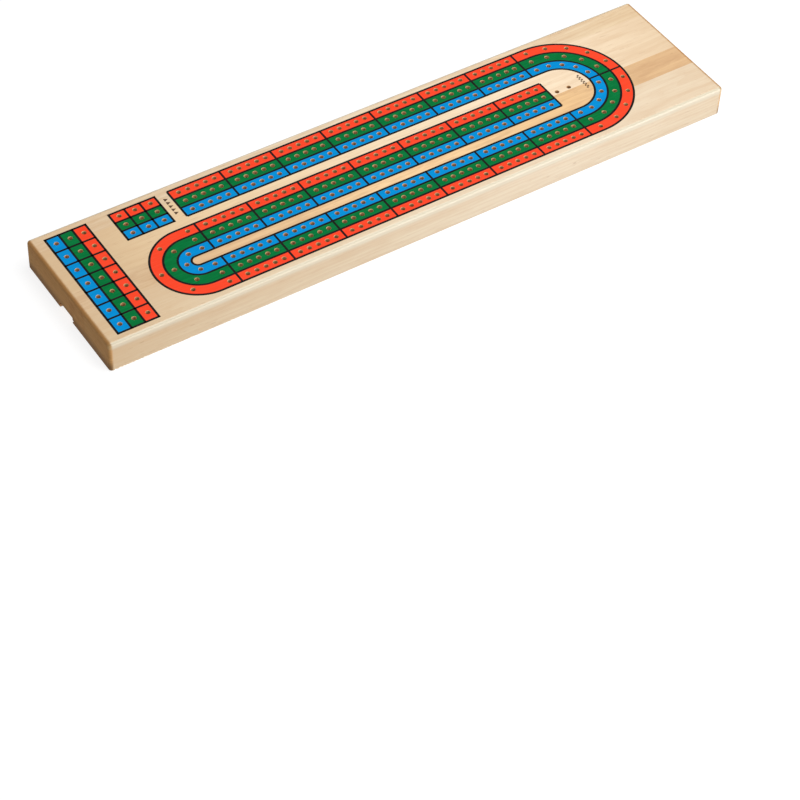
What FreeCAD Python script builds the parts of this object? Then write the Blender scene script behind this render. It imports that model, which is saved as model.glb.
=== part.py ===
"""Three-lane cribbage board with a peg compartment under a sliding cover.

Frame: origin at the middle of the underside, +X along the board towards the
wide turn of the track, +Y across it, +Z up. Millimetres.
"""
import FreeCAD
import Part
import Sketcher
import math
import os

# Driving dimensions, one row of the sheet each.
SIZES = [
    # the plank and its edges
    ("board_thickness", 19.0),
    ("side_margin", 5.0),
    ("right_margin", 38.6),
    ("corner_radius", 2.0),
    ("top_round", 2.0),
    ("base_round", 0.8),
    # the staves it is glued up from; the light stave takes the rest of the width
    ("near_stave_width", 26.3),
    ("dark_stave_width", 16.5),
    ("far_stave_width", 13.6),
    # the track: three bands of three lanes, counted in groups of five holes
    ("group_length", 31.75),
    ("groups_per_straight", 7),
    ("lane_pitch", 7.45),
    ("band_pitch", 28.5),
    ("turn_lead", 8.9),
    ("turn_margin_share", 0.125),
    ("return_lead", 11.8),
    ("return_margin", 5.8),
    ("finish_gap", 4.2),
    ("finish_pitch", 8.0),
    # the nine starting holes and the tally of games won
    ("start_block_gap", 7.4),
    ("start_block_pitch", 9.35),
    ("tally_inset", 8.3),
    ("tally_column_pitch", 8.05),
    ("tally_rows", 7),
    ("tally_gap", 13.1),
    # the peg holes
    ("hole_diameter", 2.5),
    ("hole_pitch", 5.45),
    ("web_over_well", 1.3),
    # the slot under the board with its side kerfs, and the peg well above it
    ("slot_offset", 2.4),
    ("slot_rise", 1.5),
    ("kerf_depth", 1.8),
    ("lip_thickness", 1.5),
    ("well_inset", 30.0),
    ("well_step", 0.8),
    ("peg_room", 6.3),
    ("thumb_room", 16.4),
    # the steel cover that slides in the kerfs
    ("cover_thickness", 1.0),
    ("cover_play", 0.2),
    ("cover_side_play", 0.3),
    ("cover_corner", 1.5),
    ("finger_gap", 14.0),
    ("cover_overlap", 6.0),
    ("dimple_inset", 9.0),
    ("dimple_radius", 4.5),
    ("dimple_height", 0.7),
    # the pegs, which lie three abreast and three in line
    ("peg_length", 32.0),
    ("peg_shank_length", 17.0),
    ("peg_shoulder", 0.6),
    ("peg_tip_diameter", 1.7),
    ("peg_neck_diameter", 2.35),
    ("peg_head_diameter", 3.9),
    ("peg_crown_diameter", 3.0),
    ("peg_crown_height", 1.0),
    ("peg_play", 0.25),
    ("peg_end_gap", 3.2),
    ("peg_spacing", 1.2),
]

# What follows from them, in the order in which each rule needs the last.
RULES = [
    ("half_track", "sizes.band_pitch + 1.5 * sizes.lane_pitch"),
    ("board_width", "2 * layout.half_track + 2 * sizes.side_margin"),
    ("start_inset", "sizes.tally_inset + 3 * sizes.tally_column_pitch + sizes.tally_gap"
                    " + 3 * sizes.start_block_pitch + sizes.start_block_gap"),
    ("straight", "sizes.groups_per_straight * sizes.group_length"),
    ("board_length", "layout.start_inset + layout.straight + sizes.turn_lead"
                     " + layout.half_track + sizes.right_margin"),
    ("left_end", "-layout.board_length / 2"),
    ("start_x", "layout.left_end + layout.start_inset"),
    ("end_x", "layout.start_x + layout.straight"),
    ("light_stave_width", "layout.board_width - sizes.near_stave_width"
                          " - sizes.dark_stave_width - sizes.far_stave_width"),
    ("well_width", "3 * sizes.peg_head_diameter + 4 * sizes.peg_play"),
    ("well_length", "sizes.peg_end_gap + 3 * sizes.peg_length + 2 * sizes.peg_spacing"
                    " + sizes.thumb_room"),
    ("well_start", "layout.left_end + sizes.well_inset"),
    ("well_end", "layout.well_start + layout.well_length"),
    ("slot_width", "layout.well_width + 2 * sizes.well_step"),
    ("kerf_width", "layout.slot_width + 2 * sizes.kerf_depth"),
    ("kerf_height", "sizes.cover_thickness + 2 * sizes.cover_play"),
    ("kerf_top", "sizes.lip_thickness + layout.kerf_height"),
    ("slot_height", "layout.kerf_top + sizes.slot_rise"),
    ("well_ceiling", "layout.kerf_top + sizes.peg_room"),
    ("hole_floor", "layout.well_ceiling + sizes.web_over_well"),
    ("cover_start", "layout.left_end + sizes.finger_gap"),
    ("cover_end", "layout.well_end + sizes.cover_overlap"),
    ("cover_width", "layout.kerf_width - 2 * sizes.cover_side_play"),
    ("cover_floor", "sizes.lip_thickness + sizes.cover_play"),
    ("kerf_end", "layout.cover_end + sizes.cover_side_play"),
    ("slot_end", "layout.kerf_end - sizes.kerf_depth"),
    ("outside", "layout.left_end - layout.kerf_width"),
    ("peg_row_pitch", "sizes.peg_head_diameter + sizes.peg_play"),
    ("peg_height", "layout.well_ceiling - sizes.peg_play - sizes.peg_head_diameter / 2"),
]

HOLES_PER_GROUP = 5
LANES = (-1, 0, 1)
BANDS = (-1, 0, 1)
HOLE_SIDES = 6
PEG_SIDES = 12
DRILL_OVERSHOOT = 1.0
SAME_PLACE = 1e-4
PEG_COLOURS = ("blue", "green", "red")

doc = FreeCAD.newDocument("cribbage_board")


def make_sheet():
    sheet = doc.addObject("Spreadsheet::Sheet", "sizes")
    for row, (alias, value) in enumerate(SIZES, start=1):
        sheet.set(f"A{row}", alias)
        sheet.set(f"B{row}", str(value))
        sheet.setAlias(f"B{row}", alias)
    doc.recompute()
    return sheet


def make_layout():
    """The derived sizes, as properties that follow the sheet."""
    derived = doc.addObject("App::VarSet", "layout")
    for name, rule in RULES:
        derived.addProperty("App::PropertyFloat", name)
        derived.setExpression(name, rule)
    doc.recompute()
    return derived


sizes = make_sheet()
layout = make_layout()


# Bodies and sketches.

def bind(feature, rules):
    for name, rule in rules.items():
        feature.setExpression(name, rule)


def new_body(name):
    body = doc.addObject("PartDesign::Body", name)
    body.Label = name
    return body


def new_sketch(body, name, role):
    """A sketch on one of the body's own origin planes."""
    plane = next(p for p in body.Origin.OriginFeatures if p.Role == role)
    sketch = body.newObject("Sketcher::SketchObject", name)
    sketch.AttachmentSupport = (plane, "")
    sketch.MapMode = "FlatFace"
    return sketch


def dimension(sketch, name, rule, *constraint):
    """A named sketch dimension that follows the sheet."""
    index = sketch.addConstraint(Sketcher.Constraint(*constraint))
    sketch.renameConstraint(index, name)
    sketch.setExpression(f"Constraints.{name}", rule)


def pad(body, sketch, name, rule):
    feature = body.newObject("PartDesign::Pad", name)
    feature.Profile = sketch
    feature.setExpression("Length", rule)
    doc.recompute()
    return feature


def round_edges(body, base, name, rule, wanted):
    """Fillet the edges of a feature that a test picks out."""
    edges = [f"Edge{i}" for i, edge in enumerate(base.Shape.Edges, start=1) if wanted(edge)]
    feature = body.newObject("PartDesign::Fillet", name)
    feature.Base = (base, edges)
    feature.setExpression("Radius", rule)
    doc.recompute()
    return feature


def is_upright(edge):
    first, last = edge.Vertexes[0], edge.Vertexes[-1]
    return abs(first.Z - last.Z) > SAME_PLACE


def lies_at(height):
    def wanted(edge):
        return all(abs(vertex.Z - height) < SAME_PLACE for vertex in edge.Vertexes)
    return wanted


# The board before it is drilled.

def make_blank():
    """The whole plank with every edge rounded."""
    body = new_body("board_blank")
    sketch = new_sketch(body, "board_outline", "XY_Plane")
    half_length = layout.board_length / 2
    half_width = layout.board_width / 2
    corners = [
        FreeCAD.Vector(-half_length, -half_width, 0),
        FreeCAD.Vector(half_length, -half_width, 0),
        FreeCAD.Vector(half_length, half_width, 0),
        FreeCAD.Vector(-half_length, half_width, 0),
    ]
    for i in range(4):
        sketch.addGeometry(Part.LineSegment(corners[i], corners[(i + 1) % 4]))
    for i in range(4):
        sketch.addConstraint(Sketcher.Constraint("Coincident", i, 2, (i + 1) % 4, 1))
    for i in (0, 2):
        sketch.addConstraint(Sketcher.Constraint("Horizontal", i))
        sketch.addConstraint(Sketcher.Constraint("Vertical", i + 1))
    sketch.addConstraint(Sketcher.Constraint("Symmetric", 0, 1, 2, 1, -1, 1))
    dimension(sketch, "length", "layout.board_length", "DistanceX", 0, 1, 0, 2, 2 * half_length)
    dimension(sketch, "width", "layout.board_width", "DistanceY", 1, 1, 1, 2, 2 * half_width)
    plank = pad(body, sketch, "board_plank", "sizes.board_thickness")
    corners_rounded = round_edges(body, plank, "board_corners", "sizes.corner_radius", is_upright)
    top_rounded = round_edges(body, corners_rounded, "board_top_edge", "sizes.top_round",
                              lies_at(sizes.board_thickness))
    round_edges(body, top_rounded, "board_base_edge", "sizes.base_round", lies_at(0))
    return body


# The peg holes.

def spaced(length, margin):
    """Distances of one group's holes along a stretch of track."""
    step = (length - 2 * margin) / (HOLES_PER_GROUP - 1)
    return [margin + i * step for i in range(HOLES_PER_GROUP)]


def straight_holes():
    margin = (sizes.group_length - (HOLES_PER_GROUP - 1) * sizes.hole_pitch) / 2
    for band in BANDS:
        for lane in LANES:
            y = band * sizes.band_pitch + lane * sizes.lane_pitch
            for group in range(int(sizes.groups_per_straight)):
                first = layout.start_x + group * sizes.group_length
                for run in spaced(sizes.group_length, margin):
                    yield first + run, y


def bend_point(line_x, side, middle_y, radius, lead, run):
    """The point at a distance along a U-bend that leaves and meets a cross line."""
    arc = math.pi * radius
    if run < lead:
        return line_x + side * run, middle_y + radius
    if run > lead + arc:
        return line_x + side * (2 * lead + arc - run), middle_y - radius
    turn = (run - lead) / radius
    return line_x + side * (lead + radius * math.sin(turn)), middle_y + radius * math.cos(turn)


def turn_holes():
    """The wide bend joins the far band to the near band: two groups in each lane."""
    for lane in LANES:
        radius = sizes.band_pitch + lane * sizes.lane_pitch
        group = sizes.turn_lead + math.pi * radius / 2
        for run in spaced(group, sizes.turn_margin_share * group):
            for distance in (run, 2 * group - run):
                yield bend_point(layout.end_x, 1, 0, radius, sizes.turn_lead, distance)


def return_holes():
    """The tight bend joins the near band to the middle band: one group in each lane."""
    middle_y = -sizes.band_pitch / 2
    for lane in LANES:
        radius = sizes.band_pitch / 2 + lane * sizes.lane_pitch
        group = 2 * sizes.return_lead + math.pi * radius
        for run in spaced(group, sizes.return_margin):
            yield bend_point(layout.start_x, -1, middle_y, radius, sizes.return_lead, run)


def start_block_holes():
    right_edge = layout.start_x - sizes.start_block_gap
    for column in range(3):
        x = right_edge - (column + 0.5) * sizes.start_block_pitch
        for lane in LANES:
            yield x, sizes.band_pitch + lane * sizes.lane_pitch


def tally_holes():
    left_edge = layout.left_end + sizes.tally_inset
    rows = int(sizes.tally_rows)
    for column in range(3):
        x = left_edge + (column + 0.5) * sizes.tally_column_pitch
        for row in range(rows):
            yield x, layout.half_track * (2 * row + 1 - rows) / rows


def finish_holes():
    for i in range(2):
        yield layout.end_x + sizes.finish_gap + i * sizes.finish_pitch, 0.0


def drill_at(x, y):
    """One blind hole, as a prism whose flats touch the drill's circle."""
    radius = sizes.hole_diameter / 2 / math.cos(math.pi / HOLE_SIDES)
    rim = []
    for i in range(HOLE_SIDES + 1):
        angle = math.pi * (2 * i + 1) / HOLE_SIDES
        rim.append(FreeCAD.Vector(x + radius * math.cos(angle), y + radius * math.sin(angle),
                                  layout.hole_floor))
    depth = sizes.board_thickness - layout.hole_floor + DRILL_OVERSHOOT
    return Part.Face(Part.makePolygon(rim)).extrude(FreeCAD.Vector(0, 0, depth))


def make_drills():
    """Every peg hole in one shape."""
    layouts = (straight_holes, turn_holes, return_holes, start_block_holes, tally_holes,
               finish_holes)
    prisms = [drill_at(x, y) for holes in layouts for x, y in holes()]
    print("peg holes:", len(prisms))
    drills = doc.addObject("Part::Feature", "peg_hole_drills")
    drills.Shape = Part.makeCompound(prisms)
    return drills


# The compartment.

def milled_run(name, start, end, width, floor, height):
    """A straight cut with round ends, as a router leaves it."""
    run = doc.addObject("Part::Box", f"{name}_run")
    bind(run, {
        "Placement.Base.x": f"{start} + {width} / 2",
        "Placement.Base.y": f"sizes.slot_offset - {width} / 2",
        "Placement.Base.z": floor,
        "Length": f"{end} - {start} - {width}",
        "Width": width,
        "Height": height,
    })
    cuts = [run]
    for suffix, centre in (("start", f"{start} + {width} / 2"), ("end", f"{end} - {width} / 2")):
        turn = doc.addObject("Part::Cylinder", f"{name}_{suffix}")
        bind(turn, {
            "Placement.Base.x": centre,
            "Placement.Base.y": "sizes.slot_offset",
            "Placement.Base.z": floor,
            "Radius": f"{width} / 2",
            "Height": height,
        })
        cuts.append(turn)
    return cuts


def make_compartment():
    """The slot, its kerfs and the peg well. Slot and kerfs run out of the left end."""
    below = "-sizes.lip_thickness"
    cuts = milled_run("slot", "layout.outside", "layout.slot_end", "layout.slot_width",
                      below, "layout.slot_height + sizes.lip_thickness")
    cuts += milled_run("kerf", "layout.outside", "layout.kerf_end", "layout.kerf_width",
                       "sizes.lip_thickness", "layout.kerf_height")
    cuts += milled_run("well", "layout.well_start", "layout.well_end", "layout.well_width",
                       below, "layout.well_ceiling + sizes.lip_thickness")
    compartment = doc.addObject("Part::MultiFuse", "compartment")
    compartment.Shapes = cuts
    doc.recompute()
    return compartment


# The staves.

def make_stave(name, start, width, blank, cutters):
    """One stave: its strip of the rounded plank, less what is cut into it."""
    strip = doc.addObject("Part::Box", f"{name}_strip")
    bind(strip, {
        "Placement.Base.x": "layout.outside",
        "Placement.Base.y": f"-layout.board_width / 2 + {start}",
        "Length": "-2 * layout.outside",
        "Width": width,
        "Height": "sizes.board_thickness",
    })
    stave = doc.addObject("Part::Common", f"{name}_blank")
    stave.Base = blank
    stave.Tool = strip
    for number, cutter in enumerate(cutters, start=1):
        cut = doc.addObject("Part::Cut", f"{name}_cut_{number}")
        cut.Base = stave
        cut.Tool = cutter
        stave = cut
    stave.Label = name
    doc.recompute()
    return stave


def make_staves(blank, drills, compartment):
    near = "sizes.near_stave_width"
    dark = "sizes.dark_stave_width"
    light = "layout.light_stave_width"
    far = "sizes.far_stave_width"
    return [
        make_stave("near_stave", "0", near, blank, [drills]),
        make_stave("dark_stave", near, dark, blank, [compartment, drills]),
        make_stave("light_stave", f"{near} + {dark}", light, blank, [compartment, drills]),
        make_stave("far_stave", f"{near} + {dark} + {light}", far, blank, [drills]),
    ]


# The sliding cover.

def make_cover():
    """A steel strip, round at its inner end, with a thumb dimple near its outer end."""
    body = new_body("slide_cover")
    sketch = new_sketch(body, "cover_outline", "XY_Plane")
    half = layout.cover_width / 2
    length = layout.cover_end - layout.cover_start
    straight = length - half
    tip = Part.Circle(FreeCAD.Vector(straight, 0, 0), FreeCAD.Vector(0, 0, 1), half)
    outer_right, inner_right = FreeCAD.Vector(0, -half, 0), FreeCAD.Vector(straight, -half, 0)
    outer_left, inner_left = FreeCAD.Vector(0, half, 0), FreeCAD.Vector(straight, half, 0)
    sketch.addGeometry(Part.LineSegment(outer_right, inner_right))
    sketch.addGeometry(Part.ArcOfCircle(tip, -math.pi / 2, math.pi / 2))
    sketch.addGeometry(Part.LineSegment(inner_left, outer_left))
    sketch.addGeometry(Part.LineSegment(outer_left, outer_right))
    sketch.addConstraint(Sketcher.Constraint("Tangent", 0, 2, 1, 1))
    sketch.addConstraint(Sketcher.Constraint("Tangent", 1, 2, 2, 1))
    sketch.addConstraint(Sketcher.Constraint("Coincident", 2, 2, 3, 1))
    sketch.addConstraint(Sketcher.Constraint("Coincident", 3, 2, 0, 1))
    sketch.addConstraint(Sketcher.Constraint("Horizontal", 0))
    sketch.addConstraint(Sketcher.Constraint("Horizontal", 2))
    sketch.addConstraint(Sketcher.Constraint("Vertical", 3))
    sketch.addConstraint(Sketcher.Constraint("Symmetric", 3, 1, 3, 2, -1, 1))
    dimension(sketch, "width", "layout.cover_width", "DistanceY", 3, 2, 3, 1, 2 * half)
    dimension(sketch, "straight", "layout.cover_end - layout.cover_start - layout.cover_width / 2",
              "DistanceX", 0, 1, 0, 2, straight)
    plate = pad(body, sketch, "cover_plate", "sizes.cover_thickness")
    round_edges(body, plate, "cover_corners", "sizes.cover_corner",
                lambda edge: is_upright(edge) and abs(edge.Vertexes[0].X) < SAME_PLACE)
    press_dimple(body)
    bind(body, {
        "Placement.Base.x": "layout.cover_start",
        "Placement.Base.y": "sizes.slot_offset",
        "Placement.Base.z": "layout.cover_floor",
    })
    return body


def section(body, name, role, corners):
    """A closed section whose corners take their places from the sheet.

    The first and last corners lie on the sketch's own level axis.
    """
    sketch = new_sketch(body, name, role)
    count = len(corners)
    places = [FreeCAD.Vector(i + 1, count - i, 0) for i in range(count)]
    for i in range(count):
        sketch.addGeometry(Part.LineSegment(places[i], places[(i + 1) % count]))
    for i in range(count):
        sketch.addConstraint(Sketcher.Constraint("Coincident", i, 2, (i + 1) % count, 1))
    for i, (across, up) in enumerate(corners):
        for axis, kind, rule in ((-2, "DistanceX", across), (-1, "DistanceY", up)):
            if rule == "0":
                sketch.addConstraint(Sketcher.Constraint("PointOnObject", i, 1, axis))
            else:
                dimension(sketch, f"corner_{i}_{kind[-1].lower()}", rule, kind, -1, 1, i, 1, 1.0)
    doc.recompute()
    return sketch


def press_dimple(body):
    """Press the strip up into a shallow cone, dished below and proud above."""
    rim = "sizes.dimple_inset + sizes.dimple_radius"
    crown = "sizes.dimple_inset + sizes.dimple_radius / 2"
    corners = [("sizes.dimple_inset", "0"), (rim, "0"), (crown, "sizes.dimple_height"),
               ("sizes.dimple_inset", "sizes.dimple_height")]
    for kind, name, floor in (("PartDesign::Revolution", "dimple_dome", "sizes.cover_thickness"),
                              ("PartDesign::Groove", "dimple_dish", "0")):
        sketch = section(body, f"{name}_section", "XZ_Plane", corners)
        sketch.setExpression("AttachmentOffset.Base.y", floor)
        upright = Part.LineSegment(FreeCAD.Vector(1, -1, 0), FreeCAD.Vector(1, 9, 0))
        axis = sketch.addGeometry(upright, True)
        sketch.addConstraint(Sketcher.Constraint("Vertical", axis))
        sketch.addConstraint(Sketcher.Constraint("PointOnObject", 0, 1, axis))
        doc.recompute()
        turned = body.newObject(kind, name)
        turned.Profile = sketch
        turned.ReferenceAxis = (sketch, ["Axis0"])
        turned.Angle = 360
        doc.recompute()


# The pegs.

def peg_ring(name, place_along, diameter):
    """One cross-section of a peg, a many-sided ring square to its length."""
    ring = doc.addObject("Part::RegularPolygon", name)
    ring.Polygon = PEG_SIDES
    ring.Placement.Rotation = FreeCAD.Rotation(FreeCAD.Vector(0, 1, 0), 90)
    bind(ring, {"Circumradius": f"{diameter} / 2", "Placement.Base.x": place_along})
    return ring


def make_peg(colour, row, place):
    """One turned peg, lying along the well with its tip towards the finger gap."""
    name = f"peg_{colour}_{place + 1}"
    stations = (
        ("tip", "0", "sizes.peg_tip_diameter"),
        ("neck", "sizes.peg_shank_length", "sizes.peg_neck_diameter"),
        ("shoulder", "sizes.peg_shank_length + sizes.peg_shoulder", "sizes.peg_head_diameter"),
        ("grip", "sizes.peg_length - sizes.peg_crown_height", "sizes.peg_head_diameter"),
        ("crown", "sizes.peg_length", "sizes.peg_crown_diameter"),
    )
    peg = doc.addObject("Part::Loft", name)
    peg.Sections = [peg_ring(f"{name}_{part}", along, diameter) for part, along, diameter in stations]
    peg.Solid = True
    peg.Ruled = True
    peg.Label = name
    bind(peg, {
        "Placement.Base.x": f"layout.well_start + sizes.peg_end_gap"
                            f" + {place} * (sizes.peg_length + sizes.peg_spacing)",
        "Placement.Base.y": f"sizes.slot_offset + {row} * layout.peg_row_pitch",
        "Placement.Base.z": "layout.peg_height",
    })
    return peg


def make_pegs():
    return [make_peg(colour, row, place)
            for row, colour in zip(LANES, PEG_COLOURS) for place in range(3)]


# Checks and files.

def check_document():
    for item in doc.Objects:
        if {"Invalid", "Error"} & set(item.State):
            raise RuntimeError(f"{item.Name} failed: {item.State}")


def write(piece):
    shape = piece.Shape
    if shape.isNull() or not shape.isValid():
        raise RuntimeError(f"{piece.Label} has no valid shape")
    shape.exportStep(os.path.join("parts", f"{piece.Label}.step"))
    box = shape.BoundBox
    print(f"{piece.Label:14s} solids {len(shape.Solids)}  volume {shape.Volume:10.1f}"
          f"  x {box.XMin:8.2f} {box.XMax:8.2f}  y {box.YMin:7.2f} {box.YMax:7.2f}"
          f"  z {box.ZMin:6.2f} {box.ZMax:6.2f}")


def main():
    os.makedirs("parts", exist_ok=True)
    staves = make_staves(make_blank(), make_drills(), make_compartment())
    pieces = staves + [make_cover()] + make_pegs()
    doc.recompute()
    check_document()
    for piece in pieces:
        write(piece)


main()
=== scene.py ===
import math

import bpy
from mathutils import Matrix, Vector


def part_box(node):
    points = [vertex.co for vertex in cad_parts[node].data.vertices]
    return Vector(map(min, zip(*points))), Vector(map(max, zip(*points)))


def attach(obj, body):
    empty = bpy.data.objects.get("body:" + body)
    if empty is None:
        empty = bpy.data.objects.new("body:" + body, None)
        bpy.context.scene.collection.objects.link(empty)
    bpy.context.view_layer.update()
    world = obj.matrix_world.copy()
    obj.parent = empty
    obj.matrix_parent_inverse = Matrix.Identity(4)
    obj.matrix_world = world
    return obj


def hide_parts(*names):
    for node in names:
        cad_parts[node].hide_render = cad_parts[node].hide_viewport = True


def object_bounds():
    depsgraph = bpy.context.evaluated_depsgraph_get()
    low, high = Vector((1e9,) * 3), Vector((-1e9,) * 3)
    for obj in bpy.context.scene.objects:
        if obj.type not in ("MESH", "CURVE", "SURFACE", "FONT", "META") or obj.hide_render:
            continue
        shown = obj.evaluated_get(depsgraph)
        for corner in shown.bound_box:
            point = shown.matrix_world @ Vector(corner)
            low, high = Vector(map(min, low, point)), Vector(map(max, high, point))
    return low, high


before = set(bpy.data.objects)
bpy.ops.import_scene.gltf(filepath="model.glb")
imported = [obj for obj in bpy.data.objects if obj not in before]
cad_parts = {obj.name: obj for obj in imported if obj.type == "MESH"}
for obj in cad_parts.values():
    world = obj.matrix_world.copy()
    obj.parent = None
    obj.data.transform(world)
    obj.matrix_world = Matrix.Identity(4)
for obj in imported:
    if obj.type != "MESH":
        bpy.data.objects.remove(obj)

mm = 0.001
hair = 0.01 * mm  # less than any real step between two faces
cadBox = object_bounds()
boardLow = Vector((cadBox[0].x, cadBox[0].y, 0))
boardHigh = Vector((cadBox[1].x, cadBox[1].y, cadBox[1].z))
print("frame loaded")


# small helpers

def selectOnly(*objects):
    if bpy.context.mode != "OBJECT":
        bpy.ops.object.mode_set(mode="OBJECT")
    bpy.ops.object.select_all(action="DESELECT")
    for item in objects:
        item.select_set(True)
    bpy.context.view_layer.objects.active = objects[0]


def newest(name):
    piece = bpy.context.object
    piece.name = name
    piece.data.name = name
    return piece


def settle(piece):
    # place, turn and size go into the mesh
    selectOnly(piece)
    bpy.ops.object.transform_apply(location=True, rotation=True, scale=True)
    return piece


def editWhere(piece, kind, wanted):
    # edit mode, with the vertices, edges or faces whose corners pass the test selected
    selectOnly(piece)
    bpy.ops.object.mode_set(mode="EDIT")
    bpy.ops.mesh.select_mode(type=kind)
    bpy.ops.mesh.select_all(action="DESELECT")
    bpy.ops.object.mode_set(mode="OBJECT")
    mesh = piece.data
    corners = mesh.vertices
    if kind == "VERT":
        for corner in corners:
            corner.select = wanted([corner.co])
    else:
        for part in mesh.edges if kind == "EDGE" else mesh.polygons:
            part.select = wanted([corners[i].co for i in part.vertices])
    bpy.ops.object.mode_set(mode="EDIT")


def editAll(piece):
    editWhere(piece, "FACE", lambda corners: True)


def leaveEdit():
    bpy.ops.object.mode_set(mode="OBJECT")


def applyModifier(piece, kind, **settings):
    selectOnly(piece)
    bpy.ops.object.modifier_add(type=kind)
    modifier = piece.modifiers[-1]
    for name, value in settings.items():
        setattr(modifier, name, value)
    bpy.ops.object.modifier_apply(modifier=modifier.name)


def cutAway(piece, cutter):
    applyModifier(piece, "BOOLEAN", operation="DIFFERENCE", solver="EXACT",
                  material_mode="TRANSFER", object=cutter)


def copyOf(piece, name):
    twin = piece.copy()
    twin.data = piece.data.copy()
    twin.name = twin.data.name = name
    bpy.context.scene.collection.objects.link(twin)
    return twin


def joined(name, pieces):
    selectOnly(*pieces)
    bpy.ops.object.join()
    return newest(name)


def smooth(piece, angle=35):
    # soft shading on the rounded edges, with the flat faces kept truly flat
    selectOnly(piece)
    bpy.ops.object.shade_smooth_by_angle(angle=math.radians(angle))
    applyModifier(piece, "WEIGHTED_NORMAL", keep_sharp=True, weight=100)


def facingOut(piece):
    editAll(piece)
    bpy.ops.mesh.normals_make_consistent(inside=False)
    leaveEdit()


def finished(piece, body, slot=None, replaces=()):
    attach(piece, body)
    if replaces:
        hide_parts(*replaces)


# camera

camera = dict(aim=(-90.7 * mm, -150.6 * mm, 19 * mm), distance=1207.4 * mm,
              azimuth=35.4, elevation=47.21, roll=3.09, lens=110.6, reach=20.0)


def makeCamera():
    turn, drop = math.radians(camera["azimuth"]), math.radians(camera["elevation"])
    forward = Vector((math.sin(turn) * math.cos(drop), math.cos(turn) * math.cos(drop),
                      -math.sin(drop)))
    lens = bpy.data.cameras.new("camera")
    lens.lens = camera["lens"]
    lens.clip_end = camera["reach"]
    eye = bpy.data.objects.new("camera", lens)
    bpy.context.scene.collection.objects.link(eye)
    level = forward.to_track_quat("-Z", "Y").to_matrix().to_4x4()
    place = Matrix.Translation(Vector(camera["aim"]) - forward * camera["distance"])
    eye.matrix_world = place @ level @ Matrix.Rotation(math.radians(camera["roll"]), 4, "Z")
    bpy.context.scene.camera = eye


makeCamera()
print("camera placed")


# materials: colours are written as sRGB, nodes are added by one function

smoothly = {"interpolation_type": "SMOOTHSTEP"}
asColours = {"data_type": "RGBA"}
mixA, mixB, mixOut = 6, 7, 2  # the sockets of a Mix node that mixes colours


def hexColour(code):
    parts = [int(code[i:i + 2], 16) / 255 for i in (1, 3, 5)]
    return [c / 12.92 if c <= 0.04045 else ((c + 0.055) / 1.055) ** 2.4 for c in parts] + [1]


def addNode(tree, kind, settings=None, inputs=None):
    node = tree.nodes.new("ShaderNode" + kind)
    for name, value in (settings or {}).items():
        setattr(node, name, value)
    for name, value in (inputs or {}).items():
        if isinstance(value, bpy.types.NodeSocket):
            tree.links.new(value, node.inputs[name])
        else:
            node.inputs[name].default_value = value
    return node


def newMaterial(name, **surface):
    material = bpy.data.materials.new(name)
    material.use_nodes = True
    tree = material.node_tree
    tree.nodes.clear()
    shader = addNode(tree, "BsdfPrincipled", inputs=surface)
    addNode(tree, "OutputMaterial", inputs={"Surface": shader.outputs["BSDF"]})
    return material, tree, shader


def grain(tree, along, across, detail=2.0, turn=0.0, offset=(0, 0, 0), upright=None,
          roughness=0.55):
    # cloudy noise with grains of a real size: metres along the board, across it and up it
    place = addNode(tree, "TexCoord")
    sized = addNode(tree, "Mapping", None, {
        "Vector": place.outputs["Object"], "Rotation": (0, 0, math.radians(turn)),
        "Location": offset, "Scale": (1 / along, 1 / across, 1 / (upright or across))})
    return addNode(tree, "TexNoise", None, {
        "Vector": sized.outputs["Vector"], "Scale": 1.0, "Detail": detail,
        "Roughness": roughness}).outputs["Fac"]


def layTones(tree, colour, layers, within=None):
    # each layer follows a value: as that runs from low to high, the share of the layer's tone
    # in the colour runs from first to last
    for follows, low, high, first, last, tone in layers:
        share = addNode(tree, "MapRange", smoothly, {
            "Value": follows, "From Min": low, "From Max": high, "To Min": first,
            "To Max": last})
        if within is not None:
            share = addNode(tree, "Math", {"operation": "MULTIPLY"},
                            {0: within, 1: share.outputs["Result"]})
        colour = addNode(tree, "Mix", asColours, {
            0: share.outputs[0], mixA: colour, mixB: hexColour(tone)}).outputs[mixOut]
    return colour


# the figure in the wood, by length along the grain and width across it; fades: the noise values
# between which a figure comes up; shares: how strong it gets; cloudTurn: how many times as far
# off the board's line as the grain the clouds lie; tip: the trunk tips up by its turn divided by
# this; coat and roughness: first on the faces, then on the end grain
maple = dict(ringWander=(150 * mm, 22 * mm), wanderRings=6.0, lateWood=(0.3, 1.0),
             streaks=(170 * mm, 9 * mm), streakFade=(0.4, 0.7),
             clouds=(17 * mm, 3.6 * mm), cloudFade=(0.42, 0.72), cloudTurn=4, tip=3,
             fibres=(26 * mm, 0.8 * mm), fibreFade=(0.35, 0.7), fibreShare=0.16,
             flecks=(6 * mm, 0.5 * mm), fleckFade=(0.76, 0.84), fleckShare=0.3,
             fleckTone="#A3754A", coat=(0.45, 0.0), roughness=(0.5, 0.8), relief=0.03 * mm)

# the bands under the top, two on the long edges and the arris on the ends: how far below the top
# each starts to show and where it is full, then its share and tone; the two on the long edges are
# a
# painted highlight, paler below the round and greyer on it; the shade painted at the foot of the
# ends:
# how far above the base it is full and where it ends, then the same; then how far in from the
# long edges, and from the ends, the painted highlight and the soaked lacquer start to show and
# where they are full
finish = dict(highlightReach=(2.0 * mm, 0.8 * mm), highlitEdges=(5 * mm, 2.4 * mm, 0.5, "#EEEAD8"),
              eased=(1.7 * mm, 0.5 * mm, 0.5, "#A8A286"),
              soak=(2.6 * mm, 1.1 * mm), soakTone="#FFE1B4",
              endLayers=(3 * mm, 9 * mm), endLayerHeight=0.9 * mm, endLayerFade=(0.38, 0.68),
              endLayerShare=0.28, endLayerTone="#A87744",
              footShade=(2 * mm, 8.5 * mm, 0.7, "#64432A"),
              arris=(2.2 * mm, 0.5 * mm, 0.6, "#8A5E2C"))


# painted shade along the board: the tones darken towards both ends, most at the low-x end, on top
# of each stave's own tone
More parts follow.
